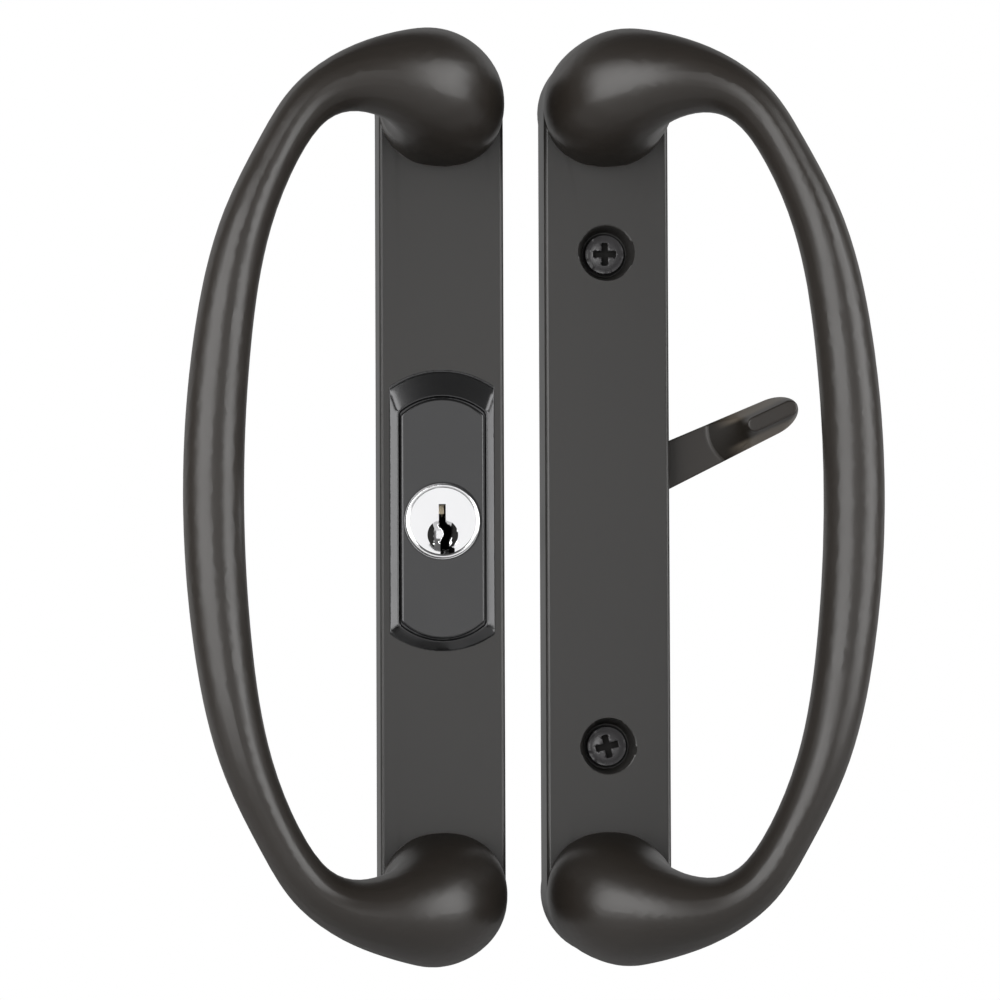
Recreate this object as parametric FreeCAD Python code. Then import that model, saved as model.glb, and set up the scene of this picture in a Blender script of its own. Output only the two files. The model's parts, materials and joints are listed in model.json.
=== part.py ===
import FreeCAD, Part
import math
import os
from FreeCAD import Vector

# A two-sided pull for a sliding patio door, in millimetres.
# The outside half carries a key lock, the inside half a thumb lever that works the latch in the door.
# The halves stand side by side with their grips turned outwards, as they are laid out for sale.
# X runs to the right, Y into the door and Z up. The door's face is the plane Y = 0.
# The origin is midway between the two mounting screws of the inside half.
# A half is drawn with u towards its grip, v up and w out of the door, so w is minus Y.

# Layout of the two halves
halves_pitch = 33.5          # from one plate's centreline to the other's
screw_spacing = 100.0        # between the two mounting screws

# Door plate, the same on both halves
plate_width = 25.8
plate_depth = 12.0
plate_end_height = 79.5      # from mid-height to the centre of the ball
plate_draft_deg = 1.5
plate_edge_radius = 0.8
face_wall = 2.4
side_wall = 2.4
pocket_end_margin = 17.5     # solid metal between the pocket and the centre of the ball
pocket_corner_radius = 3.0
rib_thickness = 2.2
end_core_radius = 8.0
end_core_depth = 21.0
end_core_draft_deg = 3.0

# Grip, a bow that grows out of a ball on each plate end
grip_reach = 46.4            # plate centreline to the middle of the bar
grip_projection = 40.7       # door to the middle of the bar
ball_cover = 0.06            # how far the ball's wall stands proud of the plate's sides
ball_rise = 8.0              # plate front to the level where the ball starts to lean over
ball_half_width = 12.55
ball_half_depth = 12.35
crest_rise = 3.3             # how far the bow's crest lies above the centre of the ball
crown_half_depth = 10.9
neck_half_width = 6.2
neck_half_depth = 8.6
shoulder_half_width = 4.4
bar_half_width = 6.0
bar_half_depth = 8.0
section_points = 16

# Mounting screws
screw_radius = 2.08
screw_neck_radius = 1.85     # plain shank inside the plate, where the thread stops
screw_hole_radius = 2.4
screw_length = 57.0
screw_head_radius = 3.9
screw_head_height = 2.9
screw_dome_height = 1.0
screw_recess_width = 1.3
screw_recess_span = 4.7
screw_recess_depth = 1.7
screw_tip_chamfer = 0.8
screw_turns_deg = {1: 0.0, -1: 13.0}
well_depth = 6.5             # conical well that sinks the screw head
well_rim_radius = 5.8
well_floor_radius = 4.4
well_wall = 1.7
post_radius = 4.8            # tapped posts of the outside half
post_hole_radius = 1.75
post_hole_depth = 9.0

# Thumb lever
lever_pivot_height = 1.2
lever_up_deg = 24.8
lever_swing_deg = 50.0
lever_thickness = 4.0
lever_hub_radius = 8.5
lever_root_half_width = 4.95   # at the pivot
lever_tip_half_width = 3.7
lever_length = 43.3
lever_tip_length = 6.3
lever_pad_start = 23.9       # the pad rises from the arm in a hollow curve up to a narrow ridge
lever_pad_bow = 1.1          # how far the pad's foot bows towards the pivot
lever_pad_step = 0.35        # low step at the pad's foot
lever_pad_knee = 28.0
lever_pad_knee_height = 2.2
lever_pad_knee_half_width = 3.1
lever_pad_top = 31.2
lever_pad_height = 8.5
lever_pad_half_width = 1.5
lever_pad_rim_radius = 0.25
lever_edge_radius = 0.5
pivot_radius = 4.5
pivot_ring_wall = 2.4
pivot_clearance = 0.05
washer_thickness = 0.5
washer_width = 2.6
lever_stub_radius = 4.0
notch_clearance = 0.5

# Small fastenings behind the plates
retainer_thickness = 1.2
retainer_corner_radius = 2.5
retainer_screw_radius = 1.25
retainer_screw_head_radius = 2.4
retainer_screw_head_height = 1.4
retainer_screw_length = 5.0
retainer_screw_slot_width = 0.6
retainer_screw_slot_depth = 0.6
screw_end_gap = 1.0          # room left in front of a small screw's end
retainer_boss_radius = 3.1
lever_retainer_half_width = 9.0
lever_retainer_half_height = 19.5
lever_retainer_screw_offset = 15.5
head_recess = 0.3            # small screw heads stay this far inside the back plane
thread_clearance = 0.05
seat_clearance = 0.1         # between a flat retainer and what turns or floats behind it
slide_clearance = 0.15       # round pieces that only pass through

# Lock on the outside half
bezel_half_width = 10.75
bezel_top = 26.2
bezel_bottom = -30.8
bezel_rise = 3.5             # how much the arched ends stand above their corners
bezel_height = 1.3
bezel_corner_radius = 1.2
bezel_lip = 0.2
bezel_lip_radius = 0.3
bezel_floor = 0.5
face_half_width = 8.4
face_top = 20.3
face_bottom = -28.2
face_rise = 3.4
face_gap = 0.45
face_proud = 0.35
face_corner_radius = 1.0
face_edge_radius = 0.5
window_half_width = 9.2
window_top = 21.0
window_bottom = -28.5
lock_boss_top = 16.6
lock_boss_bottom = -24.2
lock_retainer_half_width = 8.0
lock_rib_overlap = 1.9       # how far the retainer lies over each rib

# Key cylinder
cylinder_height = -4.5
cylinder_radius = 7.5
cylinder_proud = 0.5
cylinder_gap = 0.4
collar_radius = 8.8
collar_length = 7.4
shell_tail = 9.5             # length of the shell behind the door face
tower_half_width = 3.9
tower_height = 12.4
tower_cover_thickness = 0.9
plug_radius = 5.75
plug_clearance = 0.05
plug_face_radius = 6.7
plug_face_thickness = 1.5
plug_face_recess = 0.3
plug_dish_radius = 3.1       # hollow that leads the key in, set low on the face
plug_dish_depth = 0.8
plug_dish_drop = 2.8
keyway_top = 3.4             # top of the keyway above the cylinder's centre
keyway_right = ((0.6, -0.4), (1.9, -1.3), (1.9, -2.6), (1.2, -4.2), (1.2, -4.9), (2.4, -5.5))
keyway_left = ((-0.5, -4.3), (0.3, -3.0), (0.3, -1.8), (-0.8, -0.9))
pin_count = 5
pin_pitch = 3.6
first_pin_depth = 7.2
pin_radius = 1.4
pin_clearance = 0.05
key_pin_lengths = (4.4, 3.6, 4.8, 3.9, 4.5)
key_pin_tip = 0.5
shear_gap = 0.12
driver_length = 3.3
spring_wire = 0.4
spring_turns = 3
plug_neck_radius = 4.2
plug_head_radius = 5.2
plug_head_length = 2.6
clip_thickness = 0.8
clip_radius = 6.7
clip_mouth = 5.0

# Tailpieces, flat blades that reach into the latch
key_blade_width = 5.5
key_blade_thickness = 1.2
key_blade_length = 26.0
lever_blade_width = 6.0
lever_blade_thickness = 1.6
lever_blade_length = 32.0
blade_grip = 2.4             # length of blade held in the slot
blade_clearance = 0.05

# Values that follow from the sizes above
into_door = Vector(0, 1, 0)
out_of_door = Vector(0, -1, 0)
upward = Vector(0, 0, 1)
outside_x = -halves_pitch
half_spacing = screw_spacing / 2
plate_half_width = plate_width / 2
plate_front_half_width = plate_half_width - plate_depth * math.tan(math.radians(plate_draft_deg))
pocket_floor = plate_depth - face_wall
pocket_half_length = plate_end_height - pocket_end_margin
well_floor = plate_depth - well_depth
retainer_seat = head_recess + retainer_screw_head_height + retainer_thickness
hub_back = retainer_seat + seat_clearance
hub_front = hub_back + lever_thickness
lock_seat = plate_depth - seat_clearance - collar_length - seat_clearance
bezel_front = plate_depth + bezel_height
face_back = plate_depth + bezel_floor
face_front = bezel_front + face_proud
cylinder_front = face_front + cylinder_proud
plug_front = cylinder_front - plug_face_recess
chamber_radius = pin_radius + pin_clearance
shear_line = math.sqrt(plug_radius ** 2 - pin_radius ** 2) - shear_gap / 2
driver_base = plug_radius + plug_clearance + shear_gap / 2
clip_front = -shell_tail - seat_clearance
plug_head_front = clip_front - clip_thickness - seat_clearance
plug_head_back = plug_head_front - plug_head_length
lever_retainer_screws = [lever_pivot_height + side * lever_retainer_screw_offset for side in (1, -1)]
lock_retainer_screws = [lock_boss_top, lock_boss_bottom]
cut_margin = 1.0             # how far a cutting tool runs past a face


def at(u, v, w):
    """A point of a half: across, up and out of the door."""
    return Vector(u, -w, v)


def disc(radius, w_low, w_high, u=0.0, v=0.0):
    """A round bar along the depth."""
    return Part.makeCylinder(radius, w_high - w_low, at(u, v, w_high), into_door)


def cone(radius_low, radius_high, w_low, w_high, u=0.0, v=0.0):
    """A tapered round bar along the depth."""
    return Part.makeCone(radius_high, radius_low, w_high - w_low, at(u, v, w_high), into_door)


def block(u_low, u_high, v_low, v_high, w_low, w_high):
    """A box given by its limits."""
    return Part.makeBox(u_high - u_low, w_high - w_low, v_high - v_low, at(u_low, v_low, w_high))


def depth_edges(shape):
    """The straight edges that run along the depth, or nearly so."""
    found = []
    for edge in shape.Edges:
        along = edge.Vertexes[-1].Point - edge.Vertexes[0].Point
        if along.Length > 0 and abs(along.y) > 0.4 * along.Length:
            found.append(edge)
    return found


def edges_at(shape, w):
    """The edges that lie in the plane at depth w."""
    return [edge for edge in shape.Edges
            if abs(edge.BoundBox.YMin + w) < 1e-4 and abs(edge.BoundBox.YMax + w) < 1e-4]


def rounded_block(half_width, v_low, v_high, w_low, w_high, radius):
    """A box with its four depth edges rounded."""
    shape = block(-half_width, half_width, v_low, v_high, w_low, w_high)
    return shape.makeFillet(radius, depth_edges(shape))


def oblong(half_width, half_length, w):
    """A rectangle across the depth."""
    corners = [at(half_width, -half_length, w), at(half_width, half_length, w),
               at(-half_width, half_length, w), at(-half_width, -half_length, w)]
    return Part.makePolygon(corners + corners[:1])


def arched(half_width, bottom, top, rise, w):
    """An outline with straight sides and gently arched ends."""
    corners = [at(half_width, bottom + rise, w), at(half_width, top - rise, w),
               at(-half_width, top - rise, w), at(-half_width, bottom + rise, w)]
    crown = Part.Arc(corners[1], at(0, top, w), corners[2])
    sole = Part.Arc(corners[3], at(0, bottom, w), corners[0])
    right = Part.LineSegment(corners[0], corners[1])
    left = Part.LineSegment(corners[2], corners[3])
    return Part.Wire([side.toShape() for side in (right, crown, left, sole)])


def arched_block(half_width, bottom, top, rise, w_low, w_high, radius):
    """An arched plate with its four corners rounded."""
    outline = arched(half_width, bottom, top, rise, w_low)
    shape = Part.Face(outline).extrude(out_of_door * (w_high - w_low))
    return shape.makeFillet(radius, depth_edges(shape))


def between(first, last, share):
    """A size part of the way from one size to another."""
    return first + (last - first) * share


def grip_section(station, side):
    """One closed section of the grip. Side is 1 for the upper half of the bow and -1 for the lower."""
    (u, v, w), lean_deg, turn_deg, half_width, half_depth, squareness = station
    lean = math.radians(lean_deg)
    turn = math.radians(turn_deg)
    heading = Vector(math.cos(turn), 0, -math.sin(turn) * side)
    across = Vector(math.sin(turn), 0, math.cos(turn) * side)
    depth = heading * -math.cos(lean) + out_of_door * math.sin(lean)
    centre = at(u, v * side, w)
    points = []
    for step in range(section_points):
        # The seam starts on the side that faces the door, where it doesn't show
        angle = 2 * math.pi * (step / section_points + 0.75)
        power = squareness if math.cos(angle) < 0 else 2.0
        stretch = (abs(math.cos(angle)) ** power + abs(math.sin(angle)) ** power) ** (-1 / power)
        points.append(centre + across * (half_width * stretch * math.cos(angle))
                      + depth * (half_depth * stretch * math.sin(angle)))
    curve = Part.BSplineCurve()
    curve.interpolate(Points=points, PeriodicFlag=True)
    return Part.Wire([curve.toShape()])


def make_grip():
    """The bow: one skin through sections that fan from the ball over the neck into the bar."""
    wall = plate_half_width + ball_cover
    foot = plate_front_half_width + ball_cover
    half_way = (wall + foot) / 2

    def place(along, height, out):
        """A centre: shares of the reach, of the crest's rise and of the way from plate to bar."""
        return (along * grip_reach, plate_end_height + height * crest_rise,
                between(plate_depth, grip_projection, out))

    def bar_place(along, height, out):
        """A centre on the bar, with its height as a share of the plate's end height."""
        return (along * grip_reach, height * plate_end_height, between(plate_depth, grip_projection, out))

    door_level = -plate_depth / (grip_projection - plate_depth)
    ball_level = ball_rise / (grip_projection - plate_depth)
    # Each station: centre, lean of the section, turn of the bow, half width, half depth, squareness
    stations = [
        (place(0.0, 0.0, door_level), 0, 0, wall, wall, 2.0),
        (place(0.0, 0.06, door_level / 2), 0, 0, half_way, half_way, 2.1),
        (place(0.0, 0.12, 0.0), 0, 0, foot, foot, 2.2),
        (place(0.006, 0.27, ball_level), 4, 0, ball_half_width, ball_half_depth, 2.2),
        (place(0.047, 0.52, 0.45), 24, 0, 0.99 * ball_half_width, 0.985 * ball_half_depth, 2.1),
        (place(0.134, 0.79, 0.63), 50, 2, crown_half_depth, crown_half_depth, 2.0),
        (place(0.265, 1.0, 0.745), 76, 6, between(crown_half_depth, neck_half_width, 0.54),
         between(crown_half_depth, neck_half_depth, 0.65), 2.0),
        (place(0.414, 0.73, 0.80), 85, 16, neck_half_width, neck_half_depth, 2.0),
        (place(0.573, -0.52, 0.845), 86, 40, between(neck_half_width, shoulder_half_width, 0.78),
         between(neck_half_depth, bar_half_depth, 0.67), 2.0),
        (bar_place(0.716, 0.86, 0.89), 86, 58, shoulder_half_width, bar_half_depth, 2.0),
        (bar_place(0.853, 0.68, 0.95), 87, 69, between(shoulder_half_width, bar_half_width, 0.33),
         bar_half_depth, 2.0),
        (bar_place(0.961, 0.378, 0.985), 88, 81, between(shoulder_half_width, bar_half_width, 0.81),
         bar_half_depth, 2.0),
        (bar_place(1.0, 0.0, 1.0), 90, 90, bar_half_width, bar_half_depth, 2.0),
    ]
    upper = [grip_section(station, 1) for station in stations]
    lower = [grip_section(station, -1) for station in reversed(stations[:-1])]
    return Part.makeLoft(upper + lower, True, False, False, 5)


def make_plate():
    """The solid plate with drafted sides and rounded front edges. Its square ends lie inside the balls."""
    back = oblong(plate_half_width, plate_end_height, 0)
    front = oblong(plate_front_half_width, plate_end_height, plate_depth)
    plate = Part.makeLoft([back, front], True, True)
    sides = [edge for edge in edges_at(plate, plate_depth) if edge.Length > plate_width]
    return plate.makeFillet(plate_edge_radius, sides)


def make_pocket(standing):
    """The hollow behind the plate's face, less the posts, ribs and bosses that stand in it."""
    half_width = plate_half_width - side_wall
    pocket = rounded_block(half_width, -pocket_half_length, pocket_half_length, 0, pocket_floor,
                           pocket_corner_radius)
    return pocket.cut(Part.makeCompound(standing))


def make_end_cores():
    """Tapered cores that lighten the two ball ends from behind."""
    narrow = end_core_radius - end_core_depth * math.tan(math.radians(end_core_draft_deg))
    return [cone(end_core_radius, narrow, 0, end_core_depth, 0, side * plate_end_height) for side in (1, -1)]


def cross_rib(v, w_low):
    """A rib across the pocket, from the face wall back to w_low."""
    return block(-plate_half_width, plate_half_width, v - rib_thickness / 2, v + rib_thickness / 2,
                 w_low, plate_depth)


def make_outside_handle(blank):
    """Outside half: tapped posts, ribs that seat the lock retainer, and the lock's window."""
    posts = [disc(post_radius, 0, plate_depth, 0, side * half_spacing) for side in (1, -1)]
    ribs = [cross_rib(v, lock_seat) for v in (window_top + rib_thickness, window_bottom - rib_thickness)]
    cuts = [make_pocket(posts + ribs)] + make_end_cores()
    cuts += [disc(post_hole_radius, 0, post_hole_depth, 0, side * half_spacing) for side in (1, -1)]
    cuts.append(rounded_block(window_half_width, window_bottom, window_top, pocket_floor - cut_margin,
                              plate_depth + cut_margin, pocket_corner_radius))
    return blank.cut(cuts)


def make_inside_handle(blank):
    """Inside half: screw wells, the lever's pivot ring and the notch that the lever swings in."""
    ring_back = hub_front + washer_thickness + seat_clearance
    standing = [disc(pivot_radius + pivot_ring_wall, ring_back, plate_depth, 0, lever_pivot_height)]
    cuts = []
    for side in (1, -1):
        v = side * half_spacing
        standing.append(disc(well_rim_radius + well_wall, 0, plate_depth, 0, v))
        standing.append(cross_rib((v + side * lever_retainer_half_height) / 2, pocket_floor / 2))
        cuts.append(disc(screw_hole_radius, -cut_margin, plate_depth, 0, v))
        cuts.append(cone(well_floor_radius, well_rim_radius, well_floor, plate_depth, 0, v))
    hole_front = retainer_seat + retainer_screw_length
    for v in lever_retainer_screws:
        standing.append(disc(retainer_boss_radius, retainer_seat, plate_depth, 0, v))
        cuts.append(disc(retainer_screw_radius + thread_clearance, 0, hole_front, 0, v))
    swing = math.radians(lever_swing_deg / 2)
    reach = plate_half_width * math.tan(swing) + lever_root_half_width / math.cos(swing) + notch_clearance
    notch_start = plate_half_width - side_wall - cut_margin
    cuts.append(disc(pivot_radius + pivot_clearance, 0, pocket_floor, 0, lever_pivot_height))
    cuts.append(block(notch_start, plate_width, lever_pivot_height - reach, lever_pivot_height + reach,
                      -cut_margin, hub_front + notch_clearance))
    return blank.cut([make_pocket(standing)] + make_end_cores() + cuts)


def quarter(first, corner, last):
    """A quarter of an ellipse that rounds off a corner."""
    ease = 4 / 3 * (math.sqrt(2) - 1)
    curve = Part.BezierCurve()
    curve.setPoles([first, first + (corner - first) * ease, last + (corner - last) * ease, last])
    return curve


def lever_outline(start, bow, start_half_width, end_half_width, end, tip_length, w):
    """A bar's outline along u: an end bowed towards the pivot, two tapering sides and a round tip."""
    tip_start = end - tip_length
    nose = at(end, 0, w)
    foot = {side: at(start + bow, side * start_half_width, w) for side in (1, -1)}
    shoulder = {side: at(tip_start, side * end_half_width, w) for side in (1, -1)}
    corner = {side: at(end, side * end_half_width, w) for side in (1, -1)}
    edges = [
        Part.Arc(foot[1], at(start, 0, w), foot[-1]),
        Part.LineSegment(foot[-1], shoulder[-1]),
        quarter(shoulder[-1], corner[-1], nose),
        quarter(nose, corner[1], shoulder[1]),
        Part.LineSegment(shoulder[1], foot[1]),
    ]
    return Part.Wire([edge.toShape() for edge in edges])


def make_lever_pad():
    """The thumb pad: a low bowed step, then a hollow rise to a narrow flat ridge with round ends."""
    taper = (lever_root_half_width - lever_tip_half_width) / (lever_length - lever_tip_length)
    foot_half_width = lever_root_half_width - taper * (lever_pad_start + lever_pad_bow)
    step_front = hub_front + lever_pad_step
    ridge = hub_front + lever_pad_height

    def foot(w):
        return lever_outline(lever_pad_start, lever_pad_bow, foot_half_width, lever_tip_half_width,
                             lever_length, lever_tip_length, w)

    knee_share = lever_pad_knee_height / lever_pad_height
    ridge_end = lever_length - lever_pad_bow
    knee = lever_outline(lever_pad_knee, between(lever_pad_bow, lever_pad_half_width, knee_share),
                         lever_pad_knee_half_width, lever_pad_knee_half_width,
                         between(lever_length, ridge_end, knee_share),
                         between(lever_tip_length, lever_pad_half_width, knee_share),
                         hub_front + lever_pad_knee_height)
    top = lever_outline(lever_pad_top, lever_pad_half_width, lever_pad_half_width, lever_pad_half_width,
                        ridge_end, lever_pad_half_width, ridge)
    step = Part.Face(foot(hub_front)).extrude(out_of_door * lever_pad_step)
    rise = Part.makeLoft([foot(step_front), knee, top], True)
    rise = rise.makeFillet(lever_pad_rim_radius, edges_at(rise, ridge))
    return step.fuse(rise)


def make_lever():
    """Thumb lever: a hub on a pivot, a flat arm and the thumb pad."""
    outline = lever_outline(0, lever_pad_bow, lever_root_half_width, lever_tip_half_width, lever_length,
                            lever_tip_length, hub_back)
    arm = Part.Face(outline).extrude(out_of_door * lever_thickness)
    arm = arm.makeFillet(lever_edge_radius, edges_at(arm, hub_back))
    hub = disc(lever_hub_radius, hub_back, hub_front)
    pivot = disc(pivot_radius, hub_back, pocket_floor - slide_clearance)
    stub = disc(lever_stub_radius, head_recess, hub_back + cut_margin)
    slot = blade(lever_blade_width + 2 * blade_clearance, lever_blade_thickness + 2 * blade_clearance,
                 head_recess - cut_margin, head_recess + blade_grip)
    return turn_up(arm.fuse([make_lever_pad(), hub, pivot, stub]).removeSplitter().cut(slot))


def turn_up(shape):
    """Swing a lever piece, drawn along u, up to its rest position."""
    turned = shape.copy()
    turned.rotate(Vector(0, 0, 0), into_door, -lever_up_deg)
    turned.translate(upward * lever_pivot_height)
    return turned


def blade(width, thickness, w_low, w_high):
    """A flat upright bar along the depth."""
    return block(-thickness / 2, thickness / 2, -width / 2, width / 2, w_low, w_high)


def make_lever_tailpiece():
    """Flat blade that turns with the lever and reaches back into the latch."""
    end = head_recess - lever_blade_length
    tail = blade(lever_blade_width, lever_blade_thickness, end, head_recess + blade_grip)
    return turn_up(tail.makeChamfer(lever_blade_thickness / 3, edges_at(tail, end)))


def make_lever_washer():
    """Friction washer between the hub and the pivot ring."""
    back = hub_front + seat_clearance / 2
    inner = pivot_radius + slide_clearance
    front = back + washer_thickness
    ring = disc(inner + washer_width, back, front, 0, lever_pivot_height)
    return ring.cut(disc(inner, back, front, 0, lever_pivot_height))


def make_lever_retainer():
    """Stamped plate that holds the lever's hub in the pocket."""
    back = retainer_seat - retainer_thickness
    plate = rounded_block(lever_retainer_half_width, lever_pivot_height - lever_retainer_half_height,
                          lever_pivot_height + lever_retainer_half_height, back, retainer_seat,
                          retainer_corner_radius)
    holes = [disc(lever_stub_radius + slide_clearance, back, retainer_seat, 0, lever_pivot_height)]
    holes += [disc(retainer_screw_radius + slide_clearance, back, retainer_seat, 0, v)
              for v in lever_retainer_screws]
    return plate.cut(holes)


def small_screw(v, seat):
    """Slotted screw whose head lies behind the plane w = seat."""
    head_back = seat - retainer_screw_head_height
    head = disc(retainer_screw_head_radius, head_back, seat, 0, v)
    end = seat + retainer_thickness + retainer_screw_length - screw_end_gap
    shank = disc(retainer_screw_radius, seat, end, 0, v)
    slot = block(-retainer_screw_head_radius, retainer_screw_head_radius, v - retainer_screw_slot_width / 2,
                 v + retainer_screw_slot_width / 2, head_back, head_back + retainer_screw_slot_depth)
    return head.fuse(shank).removeSplitter().cut(slot)


def mounting_screw(v, turn_deg):
    """Long machine screw with a domed head and a cross recess, seated in its well."""
    rim = well_floor + screw_head_height - screw_dome_height
    top = well_floor + screw_head_height
    dome_radius = (screw_head_radius ** 2 + screw_dome_height ** 2) / (2 * screw_dome_height)
    half_way = screw_head_radius / 2
    middle = at(half_way, v, top - dome_radius + math.sqrt(dome_radius ** 2 - half_way ** 2))
    profile = [
        Part.LineSegment(at(0, v, well_floor), at(screw_head_radius, v, well_floor)),
        Part.LineSegment(at(screw_head_radius, v, well_floor), at(screw_head_radius, v, rim)),
        Part.Arc(at(screw_head_radius, v, rim), middle, at(0, v, top)),
        Part.LineSegment(at(0, v, top), at(0, v, well_floor)),
    ]
    outline = Part.Face(Part.Wire([side.toShape() for side in profile]))
    head = outline.revolve(at(0, v, 0), into_door, 360)
    end = well_floor - screw_length
    neck = disc(screw_neck_radius, 0, well_floor, 0, v)
    shank = disc(screw_radius, end + screw_tip_chamfer, 0, 0, v)
    tip = cone(screw_radius - screw_tip_chamfer, screw_radius, end, end + screw_tip_chamfer, 0, v)
    half_span = screw_recess_span / 2
    half_slot = screw_recess_width / 2
    floor = top - screw_recess_depth
    above = top + cut_margin
    cross = block(-half_span, half_span, v - half_slot, v + half_slot, floor, above)
    cross = cross.fuse(block(-half_slot, half_slot, v - half_span, v + half_span, floor, above))
    cross.rotate(at(0, v, 0), into_door, -turn_deg)
    return head.fuse([neck, shank, tip]).removeSplitter().cut(cross)


def make_bezel():
    """Raised surround of the lock, with a pocket for the face plate and two screw bosses behind."""
    opening = face_half_width + face_gap
    low = face_bottom - face_gap
    high = face_top + face_gap
    skirt = Part.makeLoft([
        arched(bezel_half_width, bezel_bottom, bezel_top, bezel_rise, plate_depth),
        arched(opening + bezel_lip, low - bezel_lip, high + bezel_lip, face_rise, bezel_front),
    ], True, True)
    skirt = skirt.makeFillet(bezel_corner_radius, depth_edges(skirt))
    skirt = skirt.makeFillet(bezel_lip_radius, edges_at(skirt, bezel_front))
    boss_front = plate_depth + bezel_floor / 2
    bosses = [disc(retainer_boss_radius, lock_seat + seat_clearance, boss_front, 0, v)
              for v in lock_retainer_screws]
    cuts = [arched_block(opening, low, high, face_rise, face_back, bezel_front + cut_margin,
                         face_corner_radius + face_gap)]
    cuts.append(disc(cylinder_radius + slide_clearance, plate_depth - cut_margin, bezel_front,
                     0, cylinder_height))
    hole_front = lock_seat + retainer_screw_length
    cuts += [disc(retainer_screw_radius + thread_clearance, lock_seat, hole_front, 0, v)
             for v in lock_retainer_screws]
    return skirt.fuse(bosses).cut(cuts)


def make_face_plate():
    """Flat panel that fills the bezel round the key cylinder."""
    panel = arched_block(face_half_width, face_bottom, face_top, face_rise, face_back, face_front,
                         face_corner_radius)
    panel = panel.makeFillet(face_edge_radius, edges_at(panel, face_front))
    return panel.cut(disc(cylinder_radius + cylinder_gap, face_back, face_front, 0, cylinder_height))


def pin_depths():
    """The depth of each pin, from the front of the cylinder to its back."""
    return [first_pin_depth - number * pin_pitch for number in range(pin_count)]


def upright(radius, base, length, w):
    """A round bar that stands up from a level above the key cylinder's centre."""
    return Part.makeCylinder(radius, length, at(0, cylinder_height + base, w), upward)


def make_shell():
    """Key cylinder's body: barrel, collar and the tower that holds the drivers and springs."""
    barrel = disc(cylinder_radius, -shell_tail, cylinder_front, 0, cylinder_height)
    barrel = barrel.makeFillet(plug_face_recess, edges_at(barrel, cylinder_front))
    collar = disc(collar_radius, lock_seat + seat_clearance, plate_depth - seat_clearance, 0, cylinder_height)
    tower = block(-tower_half_width, tower_half_width, cylinder_height, cylinder_height + tower_height,
                  -shell_tail, pocket_floor - slide_clearance)
    face_seat = plug_front - plug_face_thickness - seat_clearance
    bore = disc(plug_radius + plug_clearance, -shell_tail - cut_margin, face_seat, 0, cylinder_height)
    mouth = disc(plug_face_radius + plug_clearance, face_seat, cylinder_front + cut_margin,
                 0, cylinder_height)
    chambers = [upright(chamber_radius, 0, tower_height, w) for w in pin_depths()]
    return barrel.fuse([collar, tower]).removeSplitter().cut([bore, mouth] + chambers)


def keyway():
    """Zigzag slot for the key, open at the bottom of the plug's face."""
    below = -plug_face_radius - cut_margin
    right = [(keyway_right[0][0], keyway_top), *keyway_right, (keyway_right[-1][0], below)]
    left = [(keyway_left[0][0], below), *keyway_left, (keyway_left[-1][0], keyway_top)]
    corners = [at(u, cylinder_height + v, plug_front + cut_margin) for u, v in right + left]
    depth = plug_front + shell_tail
    return Part.Face(Part.makePolygon(corners + corners[:1])).extrude(into_door * depth)


def make_plug():
    """Turning core of the lock: dished face, keyway, pin holes, clip groove and tail slot."""
    face = disc(plug_face_radius, plug_front - plug_face_thickness, plug_front, 0, cylinder_height)
    body = disc(plug_radius, -shell_tail, plug_front - plug_face_thickness, 0, cylinder_height)
    neck = disc(plug_neck_radius, plug_head_front, -shell_tail, 0, cylinder_height)
    head = disc(plug_head_radius, plug_head_back, plug_head_front, 0, cylinder_height)
    dish_sphere = (plug_dish_radius ** 2 + plug_dish_depth ** 2) / (2 * plug_dish_depth)
    dish = Part.makeSphere(dish_sphere, at(0, cylinder_height - plug_dish_drop,
                                           plug_front - plug_dish_depth + dish_sphere))
    floor = shear_line - max(key_pin_lengths) - pin_clearance
    holes = [upright(chamber_radius, floor, plug_radius, w) for w in pin_depths()]
    slot = blade(key_blade_width + 2 * blade_clearance, key_blade_thickness + 2 * blade_clearance,
                 plug_head_back - cut_margin, plug_head_back + blade_grip)
    slot.translate(upward * cylinder_height)
    return face.fuse([body, neck, head]).removeSplitter().cut([dish, keyway(), slot] + holes)


def key_pin(number):
    """Lower pin, held at the shear line as by the right key, with a tapered tip."""
    w = pin_depths()[number]
    length = key_pin_lengths[number]
    base = shear_line - length
    end = at(0, cylinder_height + base, w)
    tip = Part.makeCone(pin_radius - key_pin_tip, pin_radius, key_pin_tip, end, upward)
    return tip.fuse(upright(pin_radius, base + key_pin_tip, length - key_pin_tip, w)).removeSplitter()


def pin_spring(w):
    """Coil spring between a driver pin and the tower's cover."""
    base = driver_base + driver_length + seat_clearance / 2
    height = tower_height - base - seat_clearance / 2 - spring_wire
    radius = pin_radius - spring_wire / 2
    coil = Part.makeHelix(height / spring_turns, height, radius)
    half = spring_wire / 2
    corners = [Vector(radius - half, 0, -half), Vector(radius + half, 0, -half),
               Vector(radius + half, 0, half), Vector(radius - half, 0, half)]
    wire = Part.Wire(coil.Edges).makePipeShell([Part.makePolygon(corners + corners[:1])], True, True)
    wire.translate(at(0, cylinder_height + base + half, w))
    return wire


def make_tower_cover():
    """Strip that closes the pin chambers."""
    top = cylinder_height + tower_height
    return block(-tower_half_width, tower_half_width, top, top + tower_cover_thickness, -shell_tail,
                 pocket_floor - slide_clearance)


def make_plug_clip():
    """Open ring in the groove behind the shell that keeps the plug in."""
    back = clip_front - clip_thickness
    ring = disc(clip_radius, back, clip_front, 0, cylinder_height)
    hole = disc(plug_neck_radius + plug_clearance, back, clip_front, 0, cylinder_height)
    low = cylinder_height - clip_radius
    mouth = block(-clip_mouth / 2, clip_mouth / 2, low, cylinder_height, back, clip_front)
    return ring.cut([hole, mouth])


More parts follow.
